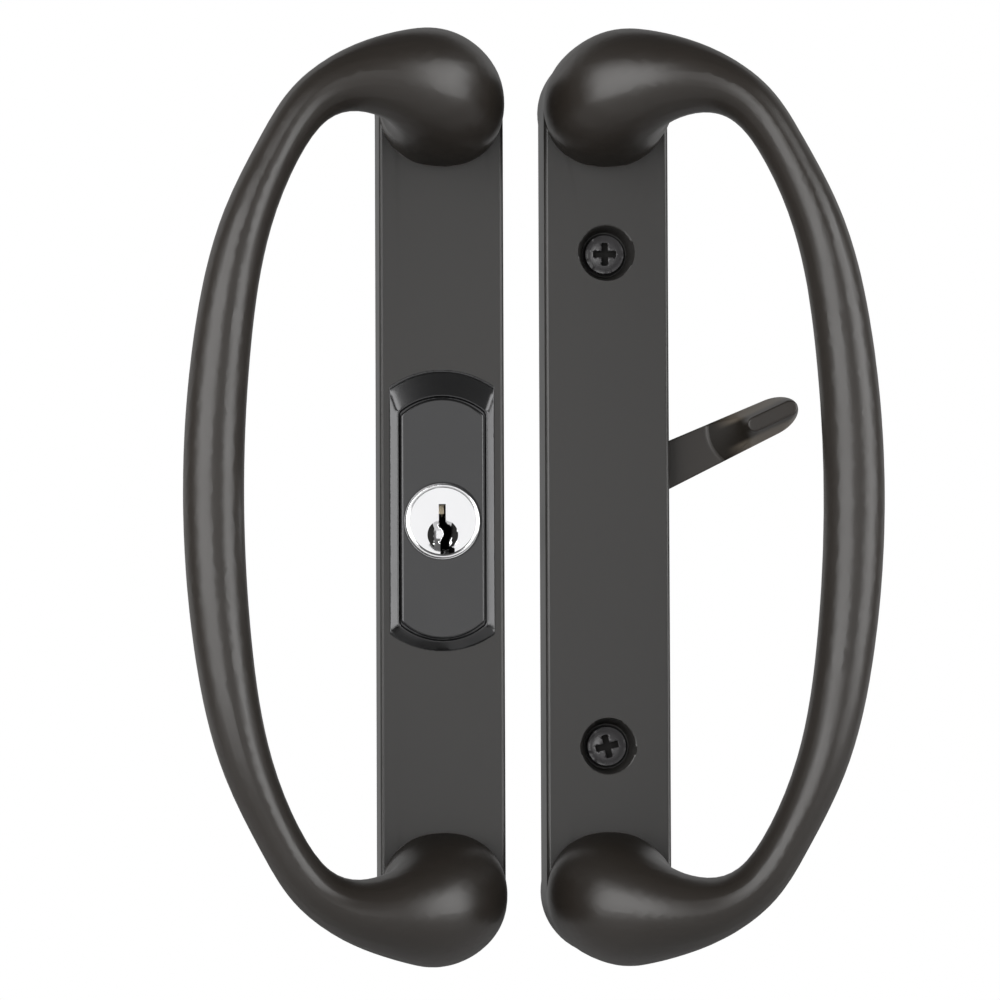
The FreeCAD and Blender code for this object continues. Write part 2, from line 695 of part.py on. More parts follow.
def make_key_tailpiece():
    """Flat blade that turns with the plug and reaches back into the latch."""
    end = plug_head_back - key_blade_length
    tail = blade(key_blade_width, key_blade_thickness, end, plug_head_back + blade_grip)
    tail = tail.makeChamfer(key_blade_thickness / 3, edges_at(tail, end))
    tail.translate(upward * cylinder_height)
    return tail


def make_lock_retainer():
    """Stamped plate behind the lock that draws the bezel against the handle."""
    back = lock_seat - retainer_thickness
    over_rib = rib_thickness / 2 + lock_rib_overlap
    plate = rounded_block(lock_retainer_half_width, window_bottom - over_rib, window_top + over_rib,
                          back, lock_seat, retainer_corner_radius)
    tower_top = cylinder_height + tower_height + tower_cover_thickness + slide_clearance
    half = tower_half_width + slide_clearance
    holes = [disc(cylinder_radius + slide_clearance, back, lock_seat, 0, cylinder_height),
             block(-half, half, cylinder_height, tower_top, back, lock_seat)]
    holes += [disc(retainer_screw_radius + slide_clearance, back, lock_seat, 0, v)
              for v in lock_retainer_screws]
    return plate.cut(holes)


def build():
    """Every piece by its name, in the part's own frame."""
    blank = make_plate().fuse(make_grip())
    outside = {
        "lock_bezel": make_bezel(),
        "lock_face_plate": make_face_plate(),
        "cylinder_shell": make_shell(),
        "lock_plug": make_plug(),
        "tower_cover": make_tower_cover(),
        "plug_clip": make_plug_clip(),
        "key_tailpiece": make_key_tailpiece(),
        "lock_retainer": make_lock_retainer(),
        "lock_retainer_screws": Part.makeCompound(
            [small_screw(v, lock_seat - retainer_thickness) for v in lock_retainer_screws]),
    }
    for number, w in enumerate(pin_depths()):
        outside["key_pin_%d" % (number + 1)] = key_pin(number)
        outside["driver_pin_%d" % (number + 1)] = upright(pin_radius, driver_base, driver_length, w)
        outside["pin_spring_%d" % (number + 1)] = pin_spring(w)
    outside["outside_handle"] = make_outside_handle(blank).mirror(Vector(0, 0, 0), Vector(1, 0, 0))
    for shape in outside.values():
        shape.translate(Vector(outside_x, 0, 0))
    inside = {
        "inside_handle": make_inside_handle(blank),
        "thumb_lever": make_lever(),
        "lever_tailpiece": make_lever_tailpiece(),
        "lever_washer": make_lever_washer(),
        "lever_retainer": make_lever_retainer(),
        "lever_retainer_screws": Part.makeCompound(
            [small_screw(v, retainer_seat - retainer_thickness) for v in lever_retainer_screws]),
        "mounting_screws": Part.makeCompound(
            [mounting_screw(side * half_spacing, screw_turns_deg[side]) for side in (1, -1)]),
    }
    return {**outside, **inside}


os.makedirs("parts", exist_ok=True)
for name, shape in build().items():
    shape.exportStep("parts/%s.step" % name)
    print(name, "valid", shape.isValid(), "solids", len(shape.Solids), "volume", round(shape.Volume, 2))
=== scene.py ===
# %% [markdown]
# # A two-sided handle for a sliding patio door
# The solids of this handle come from a CAD model, already in metres and in place. This lesson gives
# them their looks: smooth skins, a satin powder coat, a polished lock cylinder, threads on the long
# screws, and a small photo studio. Apart from those threads and two pieces whose edges are eased a
# little, nothing here changes a form, because the CAD model owns the shape.

# %% Load the frame
import json
import math

import bpy
from mathutils import Matrix, Vector


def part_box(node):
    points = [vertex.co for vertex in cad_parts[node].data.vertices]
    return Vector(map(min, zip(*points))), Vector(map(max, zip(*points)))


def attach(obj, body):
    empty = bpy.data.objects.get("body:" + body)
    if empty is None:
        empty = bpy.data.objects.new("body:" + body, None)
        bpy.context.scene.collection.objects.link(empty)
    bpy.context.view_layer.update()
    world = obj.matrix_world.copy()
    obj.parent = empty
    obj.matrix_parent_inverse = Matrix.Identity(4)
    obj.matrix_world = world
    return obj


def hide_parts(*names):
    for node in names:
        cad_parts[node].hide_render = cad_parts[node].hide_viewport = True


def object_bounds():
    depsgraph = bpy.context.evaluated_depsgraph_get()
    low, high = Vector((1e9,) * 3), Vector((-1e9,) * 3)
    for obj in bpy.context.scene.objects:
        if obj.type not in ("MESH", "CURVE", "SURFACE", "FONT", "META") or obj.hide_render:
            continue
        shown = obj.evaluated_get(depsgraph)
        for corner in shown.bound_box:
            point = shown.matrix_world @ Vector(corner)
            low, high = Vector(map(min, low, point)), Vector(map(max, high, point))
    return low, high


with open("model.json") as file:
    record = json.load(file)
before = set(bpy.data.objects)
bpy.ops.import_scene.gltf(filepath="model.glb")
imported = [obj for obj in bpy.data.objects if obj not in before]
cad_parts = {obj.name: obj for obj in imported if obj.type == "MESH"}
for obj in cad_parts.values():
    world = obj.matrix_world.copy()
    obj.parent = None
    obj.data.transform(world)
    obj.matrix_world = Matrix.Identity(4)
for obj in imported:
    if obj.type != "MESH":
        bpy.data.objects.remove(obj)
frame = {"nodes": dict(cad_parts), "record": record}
cad_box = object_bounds()
nodes = frame["nodes"]
record = frame["record"]
slot_of = {part["node"]: part["material_slot"] for part in record["subparts"]}
body_of = {node: body for body, members in record["behaviour"]["bodies"].items() for node in members}
print("nodes", len(nodes), "slots", sorted(set(slot_of.values())))

# %% [markdown]
# ## Helpers for working with operators
# Blender's operators act on whatever is selected, and loading leaves every node selected. So the first
# helper makes one object the only selected one. The second selects the points of a mesh by a rule, in
# code, where a person would drag a box over them, and the third does the same with faces.

# %% Selection helpers
mm = 0.001
plate_front = -12.0 * mm     # where the face of both plates lies along Y


def pick(piece):
    """Make one object the only selected and the active one."""
    bpy.ops.object.select_all(action="DESELECT")
    piece.select_set(True)
    bpy.context.view_layer.objects.active = piece


def select_points(piece, rule):
    """Select the points of a mesh whose place passes a rule, and go into edit mode."""
    mesh = piece.data
    for group in (mesh.polygons, mesh.edges):
        group.foreach_set("select", [False] * len(group))
    mesh.vertices.foreach_set("select", [rule(point.co) for point in mesh.vertices])
    bpy.context.tool_settings.mesh_select_mode = (True, False, False)
    bpy.ops.object.mode_set(mode="EDIT")


def select_faces(piece, rule):
    """Select the faces of a mesh that pass a rule, and go into edit mode."""
    mesh = piece.data
    for group in (mesh.vertices, mesh.edges):
        group.foreach_set("select", [False] * len(group))
    mesh.polygons.foreach_set("select", [bool(rule(face)) for face in mesh.polygons])
    bpy.context.tool_settings.mesh_select_mode = (False, False, True)
    bpy.ops.object.mode_set(mode="EDIT")


bpy.ops.object.select_all(action="DESELECT")
print("selected now", len(bpy.context.selected_objects))

# %% [markdown]
# ## Fine grain, shared by every painted piece
# Powder paint melts into a skin that is never quite flat: close up it has a faint orange-peel grain,
# and its gloss drifts a little from place to place. Several finishes need that, so it is built once as
# a node group with a fine height for bump and a slow patch for gloss and tone. It reads Object
# coordinates, so the grain keeps its real size on every piece.

# %% Grain group


def new_group(name, inputs, outputs):
    """An empty shader node group with value sockets, and its two end nodes."""
    group = bpy.data.node_groups.new(name, "ShaderNodeTree")
    for label, start in inputs.items():
        socket = group.interface.new_socket(label, in_out="INPUT", socket_type="NodeSocketFloat")
        socket.default_value = start
    for label in outputs:
        group.interface.new_socket(label, in_out="OUTPUT", socket_type="NodeSocketFloat")
    return group, group.nodes.new("NodeGroupInput"), group.nodes.new("NodeGroupOutput")


def math_node(tree, operation, first, second):
    """A math node. Each side is a number or a socket to link."""
    node = tree.nodes.new("ShaderNodeMath")
    node.operation = operation
    for socket, value in zip(node.inputs, (first, second)):
        if isinstance(value, (int, float)):
            socket.default_value = value
        else:
            tree.links.new(value, socket)
    return node.outputs[0]


def noise_node(tree, place, scale, detail):
    """A noise texture in object space. Scale is a number or a socket."""
    node = tree.nodes.new("ShaderNodeTexNoise")
    node.inputs["Detail"].default_value = detail
    tree.links.new(place, node.inputs["Vector"])
    if isinstance(scale, (int, float)):
        node.inputs["Scale"].default_value = scale
    else:
        tree.links.new(scale, node.inputs["Scale"])
    return node.outputs["Fac"]


grain, grain_in, grain_out = new_group("coat_grain", {"Scale": 2200.0}, ("Height", "Patch"))
grain_place = grain.nodes.new("ShaderNodeTexCoord").outputs["Object"]
fine = noise_node(grain, grain_place, grain_in.outputs["Scale"], 2.0)
slow_scale = math_node(grain, "MULTIPLY", grain_in.outputs["Scale"], 0.03)
slow = noise_node(grain, grain_place, slow_scale, 3.0)
grain.links.new(fine, grain_out.inputs["Height"])
grain.links.new(slow, grain_out.inputs["Patch"])
print("group", grain.name, "nodes", len(grain.nodes))

# %% [markdown]
# ## Turning marks for lathe-cut metal
# The lock cylinder and its pins are turned on a lathe, which leaves very fine rings round the axis.
# A ring is a place with the same distance from the axis, so the group measures that distance and runs
# it through a sine. The axis of the lock comes in as two values, X and Z.

# %% Turned rings group
turned, turned_in, turned_out = new_group(
    "turned_rings", {"Axis X": 0.0, "Axis Z": 0.0, "Pitch": 0.00022}, ("Rings",))
turned_place = turned.nodes.new("ShaderNodeTexCoord").outputs["Object"]
split = turned.nodes.new("ShaderNodeSeparateXYZ")
turned.links.new(turned_place, split.inputs[0])
off_x = math_node(turned, "SUBTRACT", split.outputs["X"], turned_in.outputs["Axis X"])
off_z = math_node(turned, "SUBTRACT", split.outputs["Z"], turned_in.outputs["Axis Z"])
square = math_node(turned, "ADD", math_node(turned, "MULTIPLY", off_x, off_x),
                   math_node(turned, "MULTIPLY", off_z, off_z))
radius = math_node(turned, "SQRT", square, 0.0)
turns = math_node(turned, "DIVIDE", radius, turned_in.outputs["Pitch"])
wave = math_node(turned, "SINE", math_node(turned, "MULTIPLY", turns, 2 * math.pi), 0.0)
wobble = math_node(turned, "MULTIPLY", wave, noise_node(turned, turned_place, 900.0, 2.0))
turned.links.new(wobble, turned_out.inputs["Rings"])
print("group", turned.name, "nodes", len(turned.nodes))

# %% [markdown]
# ## Drawn streaks for sheet steel
# The plates and blades behind the handle are stamped from rolled sheet with a zinc skin. Rolling draws
# every mark out into a streak, which is noise stretched along one direction. The streaks run up the
# part, so the group squeezes Z before it reads the noise.

# %% Drawn streaks group
streak, streak_in, streak_out = new_group("drawn_streaks", {"Scale": 900.0}, ("Streak", "Cloud"))
streak_place = streak.nodes.new("ShaderNodeTexCoord").outputs["Object"]
squeeze = streak.nodes.new("ShaderNodeMapping")
squeeze.inputs["Scale"].default_value = (1.0, 1.0, 0.04)
streak.links.new(streak_place, squeeze.inputs["Vector"])
streak.links.new(noise_node(streak, squeeze.outputs[0], streak_in.outputs["Scale"], 3.0),
                 streak_out.inputs["Streak"])
streak.links.new(noise_node(streak, streak_place, 130.0, 4.0), streak_out.inputs["Cloud"])
print("group", streak.name, "nodes", len(streak.nodes))

# %% [markdown]
# ## Building a finish
# Every finish here follows one plan: a Principled shader, a colour that drifts between two close tones,
# a roughness that drifts between two levels, and a bump. The helpers below wire that plan, so each
# finish is only its own group and numbers.

# %% Finish helpers


def new_finish(name):
    """A material with a Principled shader, ready to wire."""
    finish = bpy.data.materials.new(name)
    finish.use_nodes = True
    return finish, finish.node_tree, finish.node_tree.nodes["Principled BSDF"]


def place_group(tree, group, **values):
    """One copy of a shared group with its own values."""
    node = tree.nodes.new("ShaderNodeGroup")
    node.node_tree = group
    for label, value in values.items():
        node.inputs[label.replace("_", " ")].default_value = value
    return node


def mix_colour(tree, mask, first, second):
    """A colour between two others. Each is three numbers or a socket to link."""
    mix = tree.nodes.new("ShaderNodeMix")
    mix.data_type = "RGBA"
    for socket, colour in zip(mix.inputs[6:8], (first, second)):
        if isinstance(colour, tuple):
            socket.default_value = (*colour, 1.0)
        else:
            tree.links.new(colour, socket)
    tree.links.new(mask, mix.inputs[0])
    return mix.outputs[2]


def drift_colour(tree, shader, mask, dark, light):
    """Base colour that drifts between two tones."""
    tree.links.new(mix_colour(tree, mask, dark, light), shader.inputs["Base Color"])


def drift_roughness(tree, shader, mask, low, high):
    """Roughness that drifts between two levels."""
    ramp = tree.nodes.new("ShaderNodeMapRange")
    ramp.inputs["From Min"].default_value = 0.3
    ramp.inputs["From Max"].default_value = 0.7
    ramp.inputs["To Min"].default_value = low
    ramp.inputs["To Max"].default_value = high
    tree.links.new(mask, ramp.inputs["Value"])
    tree.links.new(ramp.outputs["Result"], shader.inputs["Roughness"])


def bump(tree, shader, height, depth, strength):
    """A bump of a real depth in metres."""
    node = tree.nodes.new("ShaderNodeBump")
    node.inputs["Strength"].default_value = strength
    node.inputs["Distance"].default_value = depth
    tree.links.new(height, node.inputs["Height"])
    tree.links.new(node.outputs["Normal"], shader.inputs["Normal"])


def wired(finish):
    """The node tree and shader of a finish that is already built."""
    return finish.node_tree, finish.node_tree.nodes["Principled BSDF"]


def step_mask(tree, value, low, high):
    """A mask that goes smoothly from 0 at one value to 1 at another."""
    ramp = tree.nodes.new("ShaderNodeMapRange")
    ramp.interpolation_type = "SMOOTHSTEP"
    ramp.inputs["From Min"].default_value = low
    ramp.inputs["From Max"].default_value = high
    tree.links.new(value, ramp.inputs["Value"])
    return ramp.outputs["Result"]


def recolour(tree, shader, mask, colour):
    """Lay another colour over the base colour where a mask is 1."""
    base = shader.inputs["Base Color"].links[0].from_socket
    tree.links.new(mix_colour(tree, mask, base, colour), shader.inputs["Base Color"])


print("finish helpers ready")

# %% [markdown]
# ## The painted finishes
# Both grips and their plates wear one satin black powder coat with a trace of brown. The lock's surround
# and panel are a cooler grey, and the screw heads a plainer black. All three are the same paint recipe
# with the grain group, and only their tones, gloss and grain differ. The lock's paint has metal flakes in
# it, which is why its bevels flash in the light. The plates are painted paler than the grips in front of
# them, as painted light for the light the flat plates catch, so the coat changes its tone with depth.

# %% Painted finishes


def painted(name, dark, light, rough_low, rough_high, grain_scale, depth):
    """A powder-coated metal."""
    finish, tree, shader = new_finish(name)
    group = place_group(tree, grain, Scale=grain_scale)
    drift_colour(tree, shader, group.outputs["Patch"], dark, light)
    drift_roughness(tree, shader, group.outputs["Patch"], rough_low, rough_high)
    bump(tree, shader, group.outputs["Height"], depth, 0.35)
    return finish


finishes = {
    "black_coat": painted("black_coat", (0.0158, 0.0128, 0.0104), (0.019, 0.0156, 0.0127), 0.34, 0.40,
                          2200.0, 0.00002),
    "lock_trim": painted("lock_trim", (0.063, 0.063, 0.064), (0.071, 0.071, 0.072), 0.18, 0.24,
                         2600.0, 0.000015),
    "black_screw": painted("black_screw", (0.050, 0.048, 0.050), (0.060, 0.058, 0.060), 0.30, 0.36,
                           3200.0, 0.00001),
}
wired(finishes["lock_trim"])[1].inputs["Metallic"].default_value = 0.9
print("painted finishes", sorted(finishes))

# %% Paler plates
coat, coat_shader = wired(finishes["black_coat"])
coat_place = coat.nodes.new("ShaderNodeSeparateXYZ")
coat.links.new(coat.nodes.new("ShaderNodeTexCoord").outputs["Object"], coat_place.inputs[0])
tone_change = 0.6 * mm
plate_light_mask = step_mask(coat, coat_place.outputs["Y"], plate_front - tone_change, plate_front)
# The paler plate tone is painted light: a lit copy of the same coat for the light the flat plates catch.
recolour(coat, coat_shader, plate_light_mask, (0.0225, 0.0213, 0.020))
print("coat nodes", len(coat.nodes))

# %% [markdown]
# ## The bare metal finishes
# The lock cylinder is polished and chrome plated, its pins are turned brass, and the pieces behind the
# plates are zinc-plated steel. Metal gets its look from its roughness more than its colour, so the
# turning rings and the rolled streaks mostly move the roughness and only tint the metal a little.

# %% Metal finishes
lock_axis = next(joint["pos_m"] for joint in record["behaviour"]["joints"] if joint["name"] == "key_turn")


def turned_metal(name, dark, light, rough_low, rough_high, depth):
    """Metal cut on a lathe, with rings round the lock's axis."""
    finish, tree, shader = new_finish(name)
    group = place_group(tree, turned, Axis_X=lock_axis[0], Axis_Z=lock_axis[2])
    cloud = place_group(tree, grain, Scale=6000.0)
    shader.inputs["Metallic"].default_value = 1.0
    drift_colour(tree, shader, cloud.outputs["Patch"], dark, light)
    drift_roughness(tree, shader, cloud.outputs["Patch"], rough_low, rough_high)
    bump(tree, shader, group.outputs["Rings"], depth, 0.15)
    return finish


def rolled_metal(name, dark, light, rough_low, rough_high):
    """Rolled sheet with a zinc skin."""
    finish, tree, shader = new_finish(name)
    group = place_group(tree, streak)
    shader.inputs["Metallic"].default_value = 1.0
    drift_colour(tree, shader, group.outputs["Cloud"], dark, light)
    drift_roughness(tree, shader, group.outputs["Streak"], rough_low, rough_high)
    bump(tree, shader, group.outputs["Streak"], 0.00001, 0.2)
    return finish


finishes["bright_plate"] = turned_metal("bright_plate", (0.76, 0.76, 0.77), (0.80, 0.80, 0.81), 0.10, 0.14,
                                        0.000004)
finishes["pin_brass"] = turned_metal("pin_brass", (0.44, 0.38, 0.27), (0.54, 0.47, 0.34), 0.26, 0.34,
                                     0.000006)
finishes["zinc_steel"] = rolled_metal("zinc_steel", (0.55, 0.56, 0.57), (0.70, 0.71, 0.73), 0.28, 0.42)
print("finishes", sorted(finishes))

# %% [markdown]
# ## Smooth skins for the CAD nodes
# A CAD mesh is cut into separate patches, one for each face of the solid, so its shading breaks at every
# seam. A copy with its doubled points merged can be shaded smooth up to an angle, which keeps the true
# edges crisp and lets the long bow of the grip run on as one surface. Faces that look straight forward or
# back are the flat ones, so they are marked strong: next to a rounded edge they keep their own direction.
# The copy stands in for its node.

# %% Skins
sealed = [name for name in nodes if name.startswith(("key_pin", "driver_pin", "pin_spring"))]
merge_distance = 0.004 * mm
smooth_angle = math.radians(30)
straight = 0.99999           # a face that looks along Y has at least this much of Y in its direction


def skin(name):
    """A merged, smooth copy of a CAD node that rides on the node's body and stands for it."""
    piece = bpy.data.objects.new(name + "_skin", nodes[name].data.copy())
    bpy.context.scene.collection.objects.link(piece)
    pick(piece)
    bpy.ops.object.mode_set(mode="EDIT")
    bpy.ops.mesh.select_all(action="SELECT")
    bpy.ops.mesh.remove_doubles(threshold=merge_distance)
    bpy.ops.object.mode_set(mode="OBJECT")
    bpy.ops.object.shade_smooth_by_angle(angle=smooth_angle)
    select_faces(piece, lambda face: abs(face.normal.y) > straight)
    bpy.ops.mesh.mod_weighted_strength(set=True, face_strength="STRONG")
    bpy.ops.object.mode_set(mode="OBJECT")
    even = piece.modifiers.new("even", "WEIGHTED_NORMAL")
    even.mode = "FACE_AREA_WITH_ANGLE"
    even.keep_sharp = True
    even.use_face_influence = True
    bpy.ops.object.modifier_apply(modifier="even")
    piece.shadow_terminator_shading_offset = 0.15
    piece.data.materials.clear()
    piece.data.materials.append(finishes[slot_of[name]])
    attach(piece, body_of[name])
    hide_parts(name)
    return piece


skins = {}
for name, node in nodes.items():
    node.data.materials.clear()
    node.data.materials.append(finishes[slot_of[name]])
    if name not in sealed:
        skins[name] = skin(name)
print("skins", len(skins), "points", sum(len(piece.data.vertices) for piece in skins.values()))

# %% [markdown]
# ## Easing two castings
# Paint and the die round every edge of a small casting a little. A Remesh modifier builds the same shape
# from small even cells, which also clears away the thin slivers of a CAD mesh, and smoothing then eases the
# edges. The thumb lever is eased all over. On the lock's surround only the sloping skirt is eased, so that
# its corners turn softly, while its lip and its foot stay where the panel and the plate meet them. A
# Decimate modifier then takes away the cells that the flat places don't need.

# %% Rebuild in even cells


def even_cells(piece, cell):
    """Rebuild a skin from even cells of one size."""
    pick(piece)
    cells = piece.modifiers.new("cells", "REMESH")
    cells.mode = "VOXEL"
    cells.voxel_size = cell
    cells.use_smooth_shade = True
    bpy.ops.object.modifier_apply(modifier="cells")


print("even cells ready")

# %% Ease the lever
lever = skins["thumb_lever"]
even_cells(lever, 0.25 * mm)
ease = lever.modifiers.new("ease", "SMOOTH")
ease.factor = 0.5
ease.iterations = 6
bpy.ops.object.modifier_apply(modifier="ease")
print("lever faces", len(lever.data.polygons))

# %% Ease the bezel's skirt
bezel = skins["lock_bezel"]
even_cells(bezel, 0.16 * mm)
panel_low, panel_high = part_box("lock_face_plate")
panel_x = (panel_low[0] + panel_high[0]) / 2
panel_half = (panel_high[0] - panel_low[0]) / 2
panel_rise = 3.4 * mm        # how much the panel's arched ends stand above their corners
lip_edge = 0.65 * mm         # from the panel to the outer edge of the lip
skirt_start = 0.75 * mm      # from the panel to where the easing starts
foot_height = 0.2 * mm       # the foot of the skirt stays as it is


def on_skirt(co):
    """True on the sloping skirt of the lock's surround, between its lip and its foot."""
    arch = panel_rise * ((co.x - panel_x) / (panel_half + lip_edge)) ** 2
    outside = (abs(co.x - panel_x) > panel_half + skirt_start or co.z > panel_high[2] + skirt_start - arch
               or co.z < panel_low[2] - skirt_start + arch)
    return outside and co.y < plate_front - foot_height


select_points(bezel, on_skirt)
bpy.ops.mesh.vertices_smooth(factor=0.5, repeat=60)
bpy.ops.object.mode_set(mode="OBJECT")
fewer = bezel.modifiers.new("fewer", "DECIMATE")
fewer.ratio = 0.4
bpy.ops.object.modifier_apply(modifier="fewer")
print("bezel faces", len(bezel.data.polygons))

# %% [markdown]
# ## The lever's coat
# The lever's black coat is a little rougher than the grips', and it has two changes, found by measuring
# along and across its arm: the hollow at the foot of the pad is painted darker as shade and given less
# gloss, and the flanks of the ridge are painted paler as a highlight.

# %% Places along the lever
lever_joint = next(joint for joint in record["behaviour"]["joints"] if joint["name"] == "lever_swing")
lever_rise = math.radians(24.8)
pad_foot = 23.9 * mm         # along the arm, from the pivot
pad_top = 31.2 * mm
foot_bow = 65.0              # how fast the pad's foot bends away from the middle, in 1/m
ridge_half = 1.7 * mm
lever_coat = painted("lever_coat", (0.015, 0.012, 0.0095), (0.019, 0.0155, 0.0125), 0.42, 0.48,
                     2200.0, 0.00002)
paint, lever_shader = wired(lever_coat)
arm = paint.nodes.new("ShaderNodeMapping")
arm.vector_type = "TEXTURE"
arm.inputs["Location"].default_value = lever_joint["pos_m"]
arm.inputs["Rotation"].default_value = (0.0, -lever_rise, 0.0)
paint.links.new(paint.nodes.new("ShaderNodeTexCoord").outputs["Object"], arm.inputs["Vector"])
arm_place = paint.nodes.new("ShaderNodeSeparateXYZ")
paint.links.new(arm.outputs[0], arm_place.inputs[0])
along, across = arm_place.outputs["X"], arm_place.outputs["Z"]
print("lever coat nodes", len(paint.nodes))

# %% Painted shade in the hollow, painted highlight on the flanks
bow = math_node(paint, "MULTIPLY", math_node(paint, "MULTIPLY", across, across), foot_bow)
past_foot = step_mask(paint, math_node(paint, "SUBTRACT", along, bow), pad_foot, pad_foot + 0.3 * mm)
on_ridge = step_mask(paint, along, pad_top - 0.6 * mm, pad_top + 0.4 * mm)
dull_hollow_shade = math_node(paint, "MULTIPLY", past_foot, math_node(paint, "SUBTRACT", 1.0, on_ridge))
off_middle = math_node(paint, "ABSOLUTE", across, 0.0)
beside_ridge = step_mask(paint, off_middle, ridge_half, ridge_half + 1.0 * mm)
flank_highlight = math_node(paint, "MULTIPLY", beside_ridge,
                   step_mask(paint, along, pad_foot + 1.6 * mm, pad_top - 0.2 * mm))
# Painted shade darkens the hollow, and a painted highlight makes the flanks paler.
recolour(paint, lever_shader, dull_hollow_shade, (0.012, 0.010, 0.008))
recolour(paint, lever_shader, flank_highlight, (0.092, 0.078, 0.062))
paint.links.new(math_node(paint, "SUBTRACT", 0.5, math_node(paint, "MULTIPLY", dull_hollow_shade, 0.4)),
                lever_shader.inputs["Specular IOR Level"])
lever.data.materials[0] = lever_coat
print("lever coat nodes", len(paint.nodes))

# %% [markdown]
# ## Dark hollows, partly painted shade
# The keyway is a deep zigzag slot with walls of raw metal, oil and graphite, and its black is also painted
# shade for the deep slot; the two sides of the dish round it carry a painted dark reflection. The
# cross recesses of the screws and the floors of their wells are painted dark as shade. A person would pick
# those faces by hand in edit mode. Here a rule picks them by place and direction, and they get a second
# finish.

# %% Dark finish
hollow = painted("painted_hollow_shade", (0.006, 0.006, 0.006), (0.010, 0.009, 0.008), 0.5, 0.6, 4000.0, 0.00001)
wired(hollow)[1].inputs["Specular IOR Level"].default_value = 0.15


def darken(piece, rule):
    """Give the faces that pass a rule the dark second finish, which paints shade."""
    piece.data.materials.append(hollow)
    pick(piece)
    select_faces(piece, rule)
    piece.active_material_index = 1
    bpy.ops.object.material_slot_assign()
    bpy.ops.object.mode_set(mode="OBJECT")
    print(piece.name, "dark faces", sum(face.material_index for face in piece.data.polygons))


def off_axis(face, x, z):
    """Distance of a face's middle from an axis along Y."""
    return math.hypot(face.center.x - x, face.center.z - z)


print("hollow finish", hollow.name)

# %% Dark keyway
plug_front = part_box("lock_plug")[0][1]
keyway_reach = 5.4 * mm
keyway_deep = 1.5 * mm
dark_top = lock_axis[2] + 0.2 * mm   # the narrow top of the keyway stays bright
dish_height = lock_axis[2] - 2.8 * mm
dish_reach = 3.3 * mm


def keyway_face(face):
    """True in the keyway's lower part and on the two sides of the dish round it, where a dark reflection is
    painted.
    """
    if face.center.y < plug_front + 0.02 * mm or face.center.z > dark_top:
        return False
    deep = face.center.y > plug_front + keyway_deep and face.normal.y < 0
    in_slot = (abs(face.normal.y) < 0.2 or deep) and off_axis(face, lock_axis[0], lock_axis[2]) < keyway_reach
    # The dish's two sides get a painted dark reflection.
    dish_dark_reflection = face.normal.y < -0.2 and abs(face.normal.x) > 0.28
    return in_slot or (dish_dark_reflection and off_axis(face, lock_axis[0], dish_height) < dish_reach)


# The keyway's black is partly its raw metal and partly painted shade.
darken(skins["lock_plug"], keyway_face)

# %% Dark recesses and well floors
screw_low, screw_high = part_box("mounting_screws")
stud = next(mount for mount in record["mounts"] if mount["name"] == "inside_screws")["dims"]
screw_heights = [side * stud["spacing_y_mm"] / 2 * mm for side in (1, -1)]
recess_rim = screw_low[1] + 1.1 * mm
recess_reach = 2.6 * mm
well_reach = 4.6 * mm
well_floor_band = (-8 * mm, -2 * mm)


def off_screw(face):
    """Distance of a face's middle from the nearer screw's axis."""
    return min(off_axis(face, 0.0, height) for height in screw_heights)


def recess_face(face):
    """True on the walls and the floor of a screw head's cross recess."""
    floor = face.normal.y < -0.5 and face.center.y > recess_rim
    return face.center.y < 0 and (abs(face.normal.y) < 0.2 or floor) and off_screw(face) < recess_reach


def well_floor_face(face):
    """True on the floor of a screw's well."""
    level = well_floor_band[0] < face.center.y < well_floor_band[1]
    return face.normal.y < -0.9 and level and off_screw(face) < well_reach


# The recesses and the well floors are painted dark as shade.
darken(skins["mounting_screws"], recess_face)
darken(skins["inside_handle"], well_floor_face)

# %% [markdown]
# ## Threads on the two long screws
# The CAD screws are plain rods as thick as their thread. The real ones have a thin core with a ridge
# wound round it. The core is the same rod drawn in about its axis, and the ridge is a small diamond,
# swept by a Screw modifier that turns it and moves it along by one pitch at a time.

# %% Screw cores
thread_radius = stud["stud_r_mm"] * mm
thread_pitch = 0.794 * mm
thread_depth = 0.40 * mm
core_radius = thread_radius - thread_depth
thread_start = 0.4 * mm
draw_in = core_radius / thread_radius
for height in screw_heights:
    piece = skins["mounting_screws"]
    pick(piece)
    select_points(piece, lambda co: co.y > -thread_start / 2 and co.z * height > 0)
    bpy.ops.transform.resize(value=(draw_in, 1.0, draw_in), center_override=(0.0, 0.0, height))
    bpy.ops.object.mode_set(mode="OBJECT")
print("core radius mm", round(core_radius / mm, 3), "screw end y mm", round(screw_high[1] / mm, 2))

# %% Screw threads


